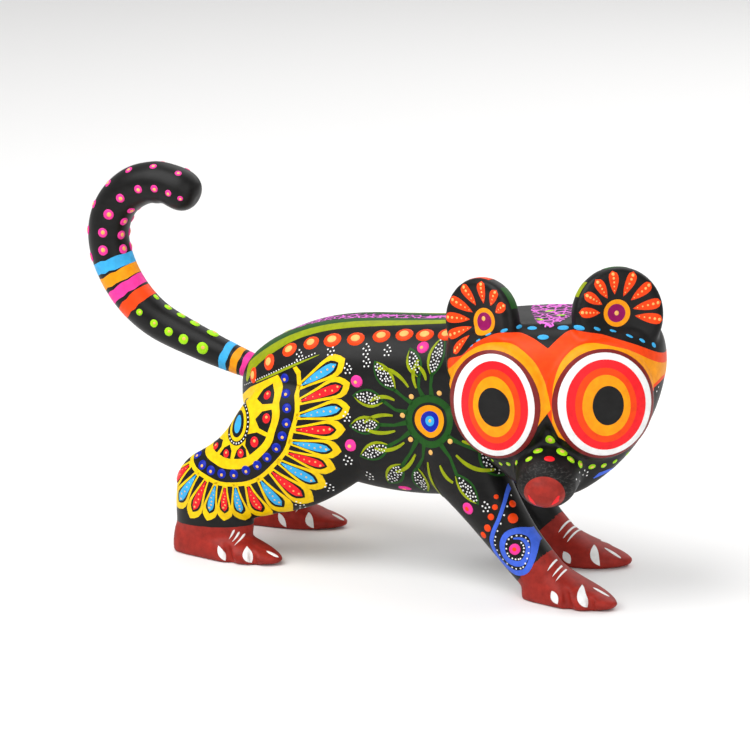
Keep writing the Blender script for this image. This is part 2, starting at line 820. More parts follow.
def spine_spot(along, around):
    """A frame that looks out of the tail at an angle around it, from the outside of the curl."""
    origin, tangent, outer = spine_axes(along)
    angle = math.radians(around)
    out = outer * math.cos(angle) + Vector((0, -1, 0)) * math.sin(angle)
    return axes_frame(origin, tangent, out)


# ---- operators ---------------------------------------------------------------------------------
class CarveFigure(Operator):
    """Carve the glued pieces and give them their base coat"""

    bl_idname = "painted_animal.carve"
    bl_label = "Carve the figure"

    def execute(self, context):
        SKIN["whole"] = carve_skin()
        pieces = share_out(SKIN["whole"])
        SKIN["head"] = join([twin(pieces[node], "head_skin") for node in ("head", "right_ear", "left_ear")],
                            "head_skin")
        SKIN["body"] = join([twin(pieces[node], "body_skin") for node in GLUED if "ear" not in node
                             and node != "head"], "body_skin")
        for node, piece in pieces.items():
            piece.name = f"{node}_carving"
            coat(piece, base_black())
            soften(piece)
            finish_piece(piece, stands_for=(node,))
            PIECES[node] = piece
        return {"FINISHED"}


class CarveTail(Operator):
    """Carve the loose tail and give it its base coat"""

    bl_idname = "painted_animal.carve_tail"
    bl_label = "Carve the tail"

    def execute(self, context):
        tail = solid_copy("tail", "tail_carving")
        modify(tail, "REMESH", mode="VOXEL", voxel_size=TAIL_GRID)
        modify(tail, "SMOOTH", factor=0.5, iterations=4)
        SKIN["tail"] = twin(tail, "tail_skin")
        coat(tail, base_black())
        soften(tail)
        finish_piece(tail, "tail", ("tail",))
        return {"FINISHED"}


class WoodParts(Operator):
    """Give the hidden dowels and the tail's peg bare wood"""

    bl_idname = "painted_animal.wood"
    bl_label = "Finish the dowels"

    def execute(self, context):
        wood = paint("bare_wood", (0.62, 0.42, 0.24), rough=0.62, streak=(0.25, 1.0, 1.0), depth=0.35)
        for name, node in NODES.items():
            if "dowel" in name or "peg" in name:
                coat(node, wood)
        return {"FINISHED"}


class PaintPaws(Operator):
    """Paint the four paws, their nails and their fine strokes"""

    bl_idname = "painted_animal.paws"
    bl_label = "Paint the paws"

    def execute(self, context):
        brick = plain("brick", depth=0.28, rough=0.46)
        for leg in ("right_hind_leg", "left_hind_leg", "right_fore_leg", "left_fore_leg"):
            piece = PIECES[leg]
            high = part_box(leg)[1]
            hind = "hind" in leg
            point = Vector((0, 0, 14.0 * MM)) if hind else Vector((high.x - 29.6 * MM, 0, 12.6 * MM))
            normal = Vector((0.05, 0, -1)) if hind else Vector((8.6, 0, -7.8))
            only(piece)
            bpy.ops.object.mode_set(mode="EDIT")
            bpy.ops.mesh.select_all(action="SELECT")
            bpy.ops.mesh.bisect(plane_co=point, plane_no=normal)
            bpy.ops.object.mode_set(mode="OBJECT")
            piece.data.materials.append(brick)
            slots = [1 if (face.center - point).dot(normal) > 0 else 0 for face in piece.data.polygons]
            piece.data.polygons.foreach_set("material_index", slots)
            self.nails(leg, hind)
        return {"FINISHED"}

    def nails(self, leg, hind):
        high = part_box(leg)[1]
        right = leg.startswith("right")
        toe = (high.x / MM - 1.0) if not hind else -23.0
        side = -1 if right else 1
        x, reach, z, half = (-5.0, 22.4, 5.1, 3.7) if not hind else (-4.2, 26.0, 4.1, 2.6)
        slope = math.radians(-28)
        ridge = axes_frame(Vector(((toe + x) * MM, MID_Y + side * reach * MM, z * MM)),
                           Vector((math.cos(slope), 0, math.sin(slope))), Vector((0, side * 0.86, 0.5)))
        dots(f"{leg}_toe_nail", [(ridge, 0, 0, half, 0.85, 0.0)], "body", plain("white", depth=0.1),
             rise=0.25)
        nails = (((-18.8, 3.7, -57, 2.4, 1.45), (-9.3, 4.6, -57, 3.6, 1.15)) if not hind
                 else ((-21.2, 3.3, -58, 2.9, 1.1), (-11.6, 3.5, -62, 2.9, 1.15)))
        strokes = (((-22.3, 13.4), (-20.3, 11.7), (-18.7, 10.6)) if not hind
                   else ((-19.0, 9.8), (-17.6, 9.0), (-16.2, 8.2)))
        loops = [blade(toe + x - half * math.cos(math.radians(turn)),
                       z - half * math.sin(math.radians(turn)),
                       math.radians(turn), 0.0, half * 2, width, 0.5, False)
                 for x, z, turn, half, width in nails]
        loops += [blade(toe + x - 0.8, z - 2.0, math.radians(66), 0.0, 3.6, 0.32, 0.7) for x, z in strokes]
        spans = ((21.5, 46.0),) if right else ((-46.0, -33.0), (-31.5, -8.0))
        for index, (near, far) in enumerate(spans):
            film(f"{leg}_nails_{index}", loops, side_frame(-1), "inner", 2, plain("white", depth=0.1), near,
                 far)


class PaintTail(Operator):
    """Paint the tail's bands and its rows of dots"""

    bl_idname = "painted_animal.tail"
    bl_label = "Paint the tail"

    def execute(self, context):
        bands = (("sky", 69.8, 2.1), ("amber", 64.7, 2.0), ("pink", 59.6, 2.0), ("vermilion", 53.8, 2.3),
                 ("sky", 13.9, 1.45), ("amber", 9.7, 1.4), ("pink", 5.4, 1.5))
        for index, (key, along, half) in enumerate(bands):
            flat = [(-half - 0.25 * math.sin(1.3 * y + index), y) for y in range(-11, 12, 2)]
            flat += [(half + 0.25 * math.sin(1.1 * y + 2 * index), y) for y in range(11, -12, -2)]
            film(f"tail_band_{index + 1}", [flat], spine_frame(along), "tail", 1, plain(key), -14, 14,
                 "tail")
        pinks, limes = [], []
        row = ((75.6, 1.9), (82.4, 1.8), (90.2, 2.0), (98.8, 1.7), (107.5, 1.6), (114.2, 1.45),
               (120.0, 1.25),
               (124.6, 1.0))
        for around in (-104, 104):
            pinks += [(spine_spot(along, around - math.copysign((along - 90) * 0.35, around)), 0, 0,
                       size, size * 0.94, 0.0) for along, size in row]
        for around in (38, -38, 158, -158):
            pinks += [(spine_spot(74 + 7.6 * k, around - math.copysign(1.6 * k, around)), 0, 0,
                       1.8 - 0.09 * k,
                       1.7 - 0.09 * k, 0.0) for k in range(7 if abs(around) < 90 else 4)]
        for around, grow in ((99, 1.0), (-99, 1.0), (179, 1.05)):
            limes += [(spine_spot(along, around), 0, 0, size * grow, size * 0.95, 0.0)
                      for along, size in ((49.2, 1.25), (42.4, 1.5), (36.1, 1.65), (30.0, 1.9),
                                          (22.3, 2.25))]
        dots("tail_pink_dots", pinks, "tail", plain("pink", rough=0.34), "tail")
        dots("tail_lime_dots", limes, "tail", plain("lime", rough=0.34), "tail")
        dots("tail_gold_dots", hearts(pinks, 0.45, (0.1, -0.1)),
             "tail", plain("gold", rough=0.34), "tail", **SMALL)
        dots("tail_orange_dots", hearts(limes, 0.36, (-0.1, -0.2)),
             "tail", plain("gold", rough=0.34), "tail", **SMALL)
        return {"FINISHED"}


class PaintFace(Operator):
    """Paint the brow, the eyes, the nose and the dots of the face"""

    bl_idname = "painted_animal.face"
    bl_label = "Paint the face"

    def execute(self, context):
        face = face_frame()
        brow = smooth([(-35.5, 13.5), (-34.5, 16.8), (-29.0, 19.5), (-24.5, 23.6), (-18.0, 26.6),
                       (-13.5, 27.8),
                       (-8.8, 27.3), (-4.2, 26.0), (-0.8, 24.3)]) \
            + smooth([(1.0, 23.2), (3.2, 25.2), (6.5, 27.4), (11.0, 28.3), (18.2, 26.3), (26.5, 23.2),
                      (32.0, 20.2), (38.5, 15.2)])
        low = [(38.5, 9.5), (30, 4), (20, -4), (8, -8), (3.9, -5.4), (2.1, -0.8), (0.6, 2.6), (-1.3, 0.2),
               (-3.9, -3.2), (-8, -7), (-20, -4), (-31, 5)]
        film("brow_orange", [brow + low], face, "head", 1, plain("vermilion"), *FRONT)
        left = smooth([(-35.5, 12.5), (-33.4, 14.5), (-27.5, 20.4), (-21.5, 24.0), (-15.8, 25.0),
                       (-9.7, 24.0),
                       (-3.7, 19.6), (-0.6, 14.2), (1.3, 8.5), (2.0, 4.2)])
        right = smooth([(2.4, 5.4), (3.1, 12.5), (5.4, 19.0), (9.7, 23.3), (15.9, 24.7), (24.1, 22.5),
                        (29.1, 19.6), (38.5, 11.8)])
        film("brow_amber_left", [left + [(0.6, 2.6), (-1.3, 0.2), (-3.9, -3.2), (-9, -6), (-22, -4),
                                         (-31, 5)]],
             face, "head", 2, plain("amber"), *FRONT)
        film("brow_amber_right", [right + [(38.5, 8.2), (36, 9.2), (30, 5), (18, -5), (8, -8), (3.9, -5.4),
                                           (2.1, -0.8)]],
             face, "head", 2, plain("amber"), *FRONT)
        self.eyes()
        self.nose()
        self.face_dots()
        return {"FINISHED"}

    def eyes(self):
        keys = ("maroon", "white", "scarlet", "vermilion", "amber", "black")
        tall = (18.6, 17.5, 15.3, 12.6, 10.3, 6.6)
        halves = {-1: (17.0, 15.2, 12.6, 9.8, 7.8, 6.0), 1: (17.4, 15.9, 13.5, 10.4, 8.2, 5.3)}
        middles = {-1: (0.6, 1.0, 1.8, 2.2, 2.2, 2.4), 1: (0.5, 0.6, 0.7, 0.5, 0.6, 1.1)}
        for side in (-1, 1):
            place = face_frame(side * 17.6, 5.0, side * 23.0, 22.2)
            name = "right" if side < 0 else "left"
            for level, (key, half_y) in enumerate(zip(keys, tall)):
                rim = circle(middles[side][level], -0.5, halves[side][level], half_y, 64,
                             0.05 * side * (5 - level))
                outline = [(x * (1 + 0.005 * math.sin(5 * k + level)), y * (1 + 0.005 * math.cos(3 * k)))
                           for k, (x, y) in ((math.tau * k / 64, point) for k, point in enumerate(rim))]
                film(f"{name}_eye_{key}", [outline], place, "head", level + 3, plain(key, rough=0.34), -12,
                     14)

    def nose(self):
        way = (HEAD.to_3x3() @ Vector((0, -0.94, -0.34))).normalized()
        across = (HEAD.to_3x3() @ Vector((1, 0, 0))).normalized()
        root = HEAD @ (Vector((-0.5, -13.0, -14.6)) * MM)
        place = axes_frame(root, across, way)
        film("nose_tip", [circle(0, 0.0, 6.8, 6.2)], place, "head", 1, plain("brick"), 17, 40)
        film("muzzle_brush", [circle(0, 0, 9.8, 8.8)], place, "head", 0.5, dry_brush(), 12, 24)
        strokes = [stroke([(-5.0, 0.6), (-4.0, -1.4), (-2.9, -3.0)], [0.25, 0.8, 0.2]),
                   stroke([(5.0, 0.4), (4.0, -1.6), (2.5, -2.9)], [0.3, 0.9, 0.2])]
        film("nostrils", strokes, place, "head", 2, plain("scarlet"), 17, 40)

    def face_dots(self):
        face = face_frame()
        lime = ((0.7, -7.1, 1.9, 1.8), (-3.2, -10.2, 1.7, 1.3), (4.7, -10.8, 1.95, 1.75),
                (-6.0, -12.4, 1.4, 1.1),
                (7.6, -13.3, 1.6, 1.2), (-11.1, -15.1, 1.2, 1.0), (10.2, -15.8, 1.5, 1.35),
                (-14.5, -16.7, 0.95, 0.8),
                (13.4, -17.7, 1.35, 1.0), (-17.4, -17.2, 0.8, 0.7), (17.0, -18.0, 1.1, 0.95),
                (-20.5, -16.6, 0.6, 0.6), (20.4, -17.4, 1.0, 0.8), (24.0, -16.0, 0.95, 0.8),
                (27.4, -13.2, 0.95, 0.8), (30.2, -9.6, 0.85, 0.75))
        dots("face_lime_dots", [(face, x, y, a, b, 0.0) for x, y, a, b in lime], "head",
             plain("lime", rough=0.34))
        dots("face_lime_hearts", hearts([(face, *row, 0.0) for row in lime[:11]], 0.42), "head",
             plain("gold"), **SMALL)
        dots("muzzle_dot", [(face, 1.1, -11.9, 1.8, 1.3, 0.0)], "head", plain("scarlet"))
        blue = ((-25.3, 22.9, 0.9, 0.35, 0.7), (-23.2, 24.6, 0.9, 0.4, 0.6), (-19.8, 26.4, 1.3, 0.5, 0.5),
                (-14.0, 28.4, 1.5, 0.6, 0.3), (-9.3, 28.9, 1.6, 0.75, 0.1), (-5.2, 28.3, 1.7, 0.95, -0.2),
                (-1.0, 26.3, 2.0, 1.2, -0.1), (5.2, 28.3, 2.1, 1.2, 0.1), (11.0, 29.3, 2.0, 0.9, -0.1),
                (16.6, 28.2, 1.6, 0.6, -0.2), (21.4, 26.8, 1.5, 0.55, -0.25),
                (26.7, 24.9, 1.3, 0.55, -0.25),
                (30.6, 22.9, 1.2, 0.6, -0.2), (34.0, 20.6, 1.1, 0.8, -0.3))
        film("cheek_stroke", [stroke([(13.4, -22.4), (15.6, -21.2), (18.2, -20.6), (21.0, -20.8)],
                                     [0.15, 0.7, 0.6, 0.2])], face, "head", 1, plain("cornflower"), *FRONT)
        dots("brow_blue_dots", [(face, *row) for row in blue], "head", plain("sky", rough=0.34), rise=0.25)
        specks = clusters(face, ((10.6, -19.9), (34.2, 4.5), (31.5, -4.5), (27.5, -9.5)))
        dots("cheek_specks", specks, "head", plain("white"), **FINE)


class PaintEars(Operator):
    """Paint the petals and discs in the ears"""

    bl_idname = "painted_animal.ears"
    bl_label = "Paint the ears"

    def execute(self, context):
        rows = ((-1, 14.6, 44.2, 2.3, 0.2, (35, 64, 95, 128, 155, 180, 204, 229)),
                (1, 16.0, 47.2, -0.9, 0.8, (172, 146, 120, 93, 62, 34, 7, -15)))
        for side, radius, top, x0, y0, angles in rows:
            name = "right" if side < 0 else "left"
            place = HEAD @ Matrix.Translation(Vector((side * 22.5, -10.0, top - radius)) * MM) \
                @ Matrix.Rotation(math.radians(31 * side), 4, "Z") @ Matrix.Rotation(math.radians(-8), 4,
                                                                                     "X") \
                @ Matrix(((1, 0, 0), (0, 0, -1), (0, 1, 0))).to_4x4()
            film(f"{name}_ear_ring", [circle(x0, y0, 4.8, 4.5)], place, "head", 1, plain("amber"), -1.5, 12)
            film(f"{name}_ear_disc", [circle(x0 - 0.1, y0, 3.2, 3.0)], place, "head", 2, plain("magenta"),
                 -1.5, 12)
            petals, specks = [], []
            for k, degrees in enumerate(angles):
                angle = math.radians(degrees)
                reach = radius - 1.0
                ca, sa = math.cos(angle), math.sin(angle)
                along = -(x0 * ca + y0 * sa)
                far = along + math.sqrt(max(0.0, reach ** 2 - x0 ** 2 - y0 ** 2 + along ** 2))
                near = 6.1 + 0.4 * math.sin(3 * k)
                petals.append(blade(x0, y0, angle, near, far, 1.75, 0.7))
                count = 4 if far - near < 7 else 5
                for j in range(count):
                    r = near + (far - near) * (0.16 + 0.7 * j / (count - 1))
                    size = 0.22 + 0.09 * j
                    specks.append((place, x0 + r * ca, y0 + r * sa, size, size, 0.0))
            film(f"{name}_ear_petals", petals, place, "head", 1, plain("vermilion"), -1.5, 14)
            self.rim(name, place, radius)
            dots(f"{name}_ear_specks", specks, "head", plain("gold"), **FINE, lift=0.05)
            dots(f"{name}_ear_heart", [(place, x0 - 0.6 * (side < 0), y0 + 0.9 * (side < 0), 0.85, 0.85,
                                        0.0)],
                 "head", plain("gold"), lift=0.08)
        return {"FINISHED"}

    def rim(self, name, place, radius):
        """Patches of colour that run over the edge of the ear from the back."""
        patches = (("vermilion", 78, 112), ("green", 22, 58)) if name == "right" else (("green", 72, 104),
                                                                                       ("olive", 130, 152))
        for key, start, end in patches:
            arc = [polar(0, 0, math.radians(a), radius - 0.7 + 0.35 * math.sin(a)) for a in range(start,
                                                                                                  end, 3)]
            arc += [polar(0, 0, math.radians(a), radius + 3.0) for a in range(end, start, -3)]
            film(f"{name}_ear_rim_{key}", [arc], place, "head", 1, plain(key), -7, 1.5)


# The haunch fan, in millimetres and degrees round its middle: its edge, its petals' tips, the top of its
# upper edge, and its dark wedges as the turn and reach of the point, and the turns of the far side
FAN = (-40.7, 48.4)
FAN_LINE = ((-180, 24.0), (-139, 23.0), (-113, 21.2), (-81, 20.1), (-42, 19.7), (-6, 21.7), (26.5, 25.1),
            (45, 29.8),
            (60, 31.0))
PETALS = ((34, 47.2), (24, 45.6), (13.5, 42.8), (3, 40.2), (-8, 39.5), (-18, 38.8), (-29.5, 38.0),
          (-42.5, 37.2),
          (-58, 35.4), (-73, 34.5), (-86, 34.3), (-96.5, 34.4), (-106, 36.0), (-116, 38.6), (-127, 40.5),
          (-138, 40.5), (-149, 38.5))
FAN_TOP = (-43.5, 57.9)
WEDGES = ((54, 11.7, 52, 33), (22, 8.6, 27, -3), (-24, 5.6, -9, -52), (-58, 7.0, -59, -87),
          (-104, 7.0, -94, -118),
          (-132, 8.2, -124, -145), (-160, 9.5, -151, -172))


def fan_ring(share, start=-180, end=60, step=6):
    """Points on a ring of the haunch fan."""
    points = []
    for degrees in range(start, end + 1, step):
        points.append(polar(*FAN, math.radians(degrees), share * between(FAN_LINE, degrees)))
    return points


class PaintHaunches(Operator):
    """Paint the fans on the haunches"""

    bl_idname = "painted_animal.haunches"
    bl_label = "Paint the haunches"

    def execute(self, context):
        for side, name in ((-1, "right"), (1, "left")):
            self.fan(side, name, side_frame(side))
        return {"FINISHED"}

    def band(self, low, high):
        return fan_ring(high) + fan_ring(low)[::-1]

    def under(self, loop):
        """Brings points above the fan's upper edge down to it."""
        return [(x, min(y, FAN_TOP[1] + (x - FAN_TOP[0]) * (0.525 if x > FAN_TOP[0] else 0.9))) for x,
                y in loop]

    def fan(self, side, name, place):
        wedges = []
        for apex_turn, apex_reach, start, end in WEDGES:
            apex = polar(*FAN, math.radians(apex_turn), apex_reach)
            rim = []
            for k in range(7):
                degrees = start + (end - start) * k / 6
                share = between(((-180, 0.60), (-91, 0.56), (15, 0.62), (60, 0.62)), degrees)
                rim.append(polar(*FAN, math.radians(degrees), share * between(FAN_LINE, degrees)))
            middle = rim[3]
            flanks = []
            for corner in (rim[0], rim[-1]):
                x, y = (apex[0] + corner[0]) / 2, (apex[1] + corner[1]) / 2
                flanks.append((x + 0.16 * (x - middle[0]) + 0.14 * (corner[0] - middle[0]),
                               y + 0.16 * (y - middle[1]) + 0.14 * (corner[1] - middle[1])))
            wedges.append([apex, flanks[0], *rim, flanks[1]])
        field = self.under(fan_ring(0.735, -186, 54, 4) + [polar(*FAN, math.radians(a), 30.0) for a in (70,
                                                                                                        90,
                                                                                                        110)]
                           + [polar(*FAN, math.radians(a), 20.0) for a in (130, 150, 168)])
        film(f"{name}_fan_field", [field, *wedges], place, name, 1, plain("yellow"), *FLANK,
             holes=True)
        for key, level, half_x, half_y in (("black", 2, 5.3, 7.0), ("yellow", 3, 4.0, 5.6),
                                           ("black", 4, 2.8, 4.3),
                                           ("sky", 5, 1.6, 2.9)):
            film(f"{name}_fan_heart_{level}", [circle(FAN[0] + 0.6, FAN[1] + 0.3, half_x, half_y)], place,
                 name,
                 level, plain(key), *FLANK)
        film(f"{name}_fan_line", [self.under(self.band(0.965, 1.035))], place, name, 1, plain("yellow"),
             *FLANK)
        film(f"{name}_fan_olive", [stroke([(-37.5, 61.9), (-28.9, 66.4), (-20.6, 70.7), (-11.7, 75.0)],
                                         [0.2, 0.42, 0.4, 0.1])], place, name, 3, plain("olive"), *FLANK)
        frames, drops = [], {"sky": [], "scarlet": []}
        gold = []
        for index, (degrees, reach) in enumerate(PETALS):
            angle = math.radians(degrees)
            near = between(FAN_LINE, degrees)
            steps = [abs(PETALS[k][0] - degrees) for k in (index - 1, index + 1) if 0 <= k < len(PETALS)]
            half = math.tan(math.radians(sum(steps) / len(steps) / 2)) * reach * 0.84
            frames.append([self.tip(angle, near * 0.99, reach, half * 1.08),
                           self.tip(angle, near * 1.06, reach - 2.7, half * 0.68)])
            key = "scarlet" if index % 2 else "sky"
            drops[key].append(blade(*FAN, angle, near + 0.9, reach - 3.6, half * 0.44, 0.72))
            count = 6
            for k in range(count):
                r = near + 3.2 + (reach - 8.2 - near) * k / (count - 1)
                size = 0.22 + 0.05 * k
                gold.append((*polar(*FAN, angle + 0.012 * math.sin(2.4 * k + index), r), size))
        petals = [film(f"{name}_petal_{k}", loops, place, name, 1 + k % 2, plain("yellow"), *FLANK,
                       holes=True)
                  for k, loops in enumerate(frames)]
        join([petal for petal in petals if petal], f"{name}_fan_petals")
        for key, loops in drops.items():
            film(f"{name}_fan_{key}", loops, place, name, 3, plain(key), *FLANK)
        dots(f"{name}_fan_gold", [(place, x, y, size, size, 0.0) for x, y, size in gold], "body",
             plain("gold"), **FINE, lift=0.14)
        beads = [(*polar(*FAN, math.radians(turn), reach), 1.75) for turn, reach in (
            (46.5, 23.6), (35, 21.9), (22.5, 21.0), (9, 20.2), (-4, 18.9), (-18, 17.8), (-34, 16.4),
            (-51, 15.8),
            (-69, 15.6), (-87, 16.6), (-103, 17.4), (-117, 18.4), (-129, 19.5), (-141, 20.3), (-154, 21.0))]
        dots(f"{name}_fan_beads", [(place, x, y, size, size, 0.0) for x, y, size in beads], "body",
             plain("blue", rough=0.30))
        dots(f"{name}_fan_lights", hearts([(place, x, y, r, r, 0.0) for x, y, r in beads], 0.33,
                                          (0.1, -0.2)),
             "body", plain("gold"), **SMALL)
        reds = [(*polar(*FAN, math.radians(a), r), b) for a, r, b in
                ((46, 15.6, 1.7), (18, 12.9, 1.8), (-27, 9.6, 1.95), (-70, 9.5, 1.55), (-106, 10.4, 1.5),
                 (-134, 12.1, 1.45), (-161, 13.2, 1.4))]
        dots(f"{name}_fan_reds", [(place, x, y, size * 0.85, size, 0.0) for x, y, size in reds], "body",
             plain("scarlet", rough=0.34), lift=0.02)
        dots(f"{name}_fan_red_lights", hearts([(place, x, y, r, r, 0.0) for x, y, r in reds], 0.28,
                                              (0.1, 0.2)),
             "body", plain("gold"), **SMALL)
        rim = []
        for count, a, b in ((26, 4.7, 6.35), (17, 2.25, 3.65)):
            for k in range(count):
                turn = math.tau * k / count
                rim.append((FAN[0] + 0.6 + a * math.cos(turn), FAN[1] + 0.3 + b * math.sin(turn)))
        specks = [(place, x, y, 0.33, 0.33, 0.0) for x, y in rim if x > FAN[0] - 3]
        specks += clusters(place, ((-0.1, 71.3), (-0.3, 54.6), (0.2, 39.4), (5.6, 78.0), (-7.0, 29.0),
                                   (-7.7, 76.4), (-19.6, 73.4), (-18.0, 21.5)))
        for k in range(30):
            specks.append((place, -44.0 + 1.05 * k, 59.2 + 0.55 * k, 0.3, 0.24, 0.45))
        dots(f"{name}_haunch_specks", specks, "body", plain("white"), **FINE, lift=0.12)

    def tip(self, angle, near, far, half):
        """A petal outline with a soft point."""
        shares = (0.0, 0.18, 0.4, 0.6, 0.75, 0.86, 0.94, 1.0)
        widths = (0.28, 0.42, 0.66, 0.90, 1.0, 0.86, 0.48, 0.0)
        sides = ([], [])
        for share, width in zip(shares, widths):
            along = near + (far - near) * share
            for row, sign in zip(sides, (1, -1)):
                off = sign * half * width
                row.append((FAN[0] + along * math.cos(angle) - off * math.sin(angle),
                            FAN[1] + along * math.sin(angle) + off * math.cos(angle)))
        return sides[0] + sides[1][-2::-1]


FLOWER = (31.0, 57.0)
NAPE_SHRINK = 0.78
# Turn and reach from the flower's middle, length, half width and lean of each leaf
LEAVES = ((109, 20.0, 9.5, 2.1, 12), (87, 21.8, 12.0, 2.3, -4), (142, 21.8, 11.5, 2.4, -10),
          (167, 23.6, 11.0, 2.5, 10),
          (190, 24.6, 11.0, 2.6, -2), (212, 24.4, 11.5, 2.5, -8), (236, 25.0, 10.5, 2.5, -8),
          (257, 22.8, 10.0, 2.3, 16),
          (308, 26.0, 12.0, 2.1, 6), (333, 25.5, 11.0, 2.0, -22))


class PaintShoulders(Operator):
    """Paint the flowers on the shoulders"""

    bl_idname = "painted_animal.shoulders"
    bl_label = "Paint the shoulders"

    def execute(self, context):
        for side, name in ((-1, "right"), (1, "left")):
            self.flower(name, side_frame(side), name, "body")
        behind = HEAD @ Matrix(((-1, 0, 0), (0, 0, 1), (0, 1, 0))).to_4x4() \
            @ Matrix.Scale(NAPE_SHRINK, 4) @ Matrix.Translation(Vector((-FLOWER[0], -FLOWER[1], 0)) * MM)
        self.flower("nape", behind, "nape", "head")
        return {"FINISHED"}

    def flower(self, name, place, where, surf):
        rng = random.Random(7)
        x0, y0 = FLOWER
        film(f"{name}_flower_ring", [circle(x0, y0, 9.2, 8.9), circle(x0 + 0.1, y0 - 0.1, 6.9, 6.5)], place,
             where, 1,
             plain("green"), *FLANK, holes=True)
        film(f"{name}_flower_ochre", [circle(x0, y0, 5.8, 5.4)], place, where, 2, plain("amber"), *FLANK)
        film(f"{name}_flower_blue", [circle(x0 + 0.1, y0 - 0.1, 3.6, 3.5)], place, where, 3, plain("blue"),
             *FLANK)
        film(f"{name}_flower_sky", [circle(x0, y0, 1.8, 1.7)], place, where, 4, plain("sky"), *FLANK)
        dots(f"{name}_flower_heart", [(place, x0, y0, 0.62, 0.62, 0.0)], surf, plain("gold"), lift=0.2)
        green, hollow, olive, specks = [], [], [], []
        for degrees, reach, length, half, turn in LEAVES:
            angle, lean = math.radians(degrees), math.radians(degrees + turn)
            cx, cy = polar(x0, y0, angle, reach)
            bx, by = polar(cx, cy, lean, -length / 2 - 0.6)
            green.append(blade(bx, by, lean, 0.0, length + 1.4, half + 0.75, 0.5, False))
            hollow.append(blade(bx, by, lean, 1.3, length + 0.5, half, 0.5, False))
            sx, sy = polar(x0, y0, angle, 8.6)
            mx, my = polar(x0, y0, angle + 0.05, (8.6 + reach - length / 2) / 2)
            green.append(stroke([(sx, sy), (mx, my), (bx + math.cos(lean), by + math.sin(lean))],
                                [0.9, 0.5, 0.65]))
            c, s = math.cos(lean), math.sin(lean)
            side = 1 if degrees % 2 else -1
            arc = []
            for k in range(7):
                share = k / 6
                off = side * (half + 0.25) * math.sin(math.pi * (0.06 + 0.9 * share)) ** 0.8
                along = 0.9 + (length - 0.4) * share
                arc.append((bx + along * c - off * s, by + along * s + off * c))
            olive.append(stroke(arc, [0.12, 0.34, 0.48, 0.5, 0.45, 0.32, 0.1]))
            placed = []
            for _ in range(900):
                along, off = rng.uniform(1.9, length - 0.1), rng.uniform(-half, half)
                room = (half - 0.55) * math.sin(math.pi * (along - 0.9) / (length - 0.2)) ** 0.8
                if abs(off) < room and all(math.hypot(along - p, off - q) > 0.86 for p, q in placed):
                    placed.append((along, off))
            specks += [(place, bx + p * c - q * s, by + p * s + q * c, 0.33, 0.33, 0.0) for p, q in placed]
        for degrees, low, high, bend in ((127, 13.5, 25.5, 0.35), (116, 12, 21, -0.3), (97, 14, 19, 0.2),
                                         (157, 14.5, 23, 0.3), (179, 14, 25, 0.22), (201, 14, 25, -0.2),
                                         (222, 13, 24, -0.3), (246, 13.5, 24, -0.25), (270, 14, 27, 0.22),
                                         (291, 15, 22, 0.2), (320, 15, 28, 0.25), (340, 14, 24, 0.3)):
            path = [polar(x0, y0, math.radians(degrees) + bend * k * k / 16 * 0.7,
                          low + (high - low) * k / 4)
                    for k in range(5)]
            olive.append(stroke(smooth(path, steps=3), [0.15 + 0.5 * math.sin(math.pi * (0.1 + 0.72 * k / 12))
                                                         for k in range(13)]))
        for loops, key, level in ((green, "green", 1), (hollow, "black", 2), (olive, "olive", 3)):
            film(f"{name}_leaf_{key}", loops, place, where, level, plain(key), *FLANK)
        dots(f"{name}_leaf_specks", specks, surf, plain("white"), count=7, rings=2, lift=0.12)
        dots(f"{name}_flower_beads", [(place, *polar(x0, y0, math.radians(a), 10.4), 0.95, 0.9, 0.0)
                                      for a in (133, 72, 176, 225, 277, 329)], surf,
             plain("gold", rough=0.34), lift=0.05)
        if surf == "head":
            return
        pinks = ((3.4, 67.7, 2.3, 2.2), (1.2, 45.1, 2.4, 2.2), (26.4, 81.2, 2.3, 2.2),
                 (18.3, 30.2, 2.6, 1.5))
        dots(f"{name}_pink_dots", [(place, *row, 0.0) for row in pinks], surf, plain("pink", rough=0.34))
        dots(f"{name}_pink_hearts", hearts([(place, *row, 0.0) for row in pinks], 0.3, (-0.1, -0.1)), surf,
             plain("gold"), **SMALL)
        specks = clusters(place, ((13.5, 78.5), (6.6, 74.2), (34.0, 29.5), (6.5, 33.5)))
        dots(f"{name}_side_specks", specks, surf, plain("white"), **FINE)


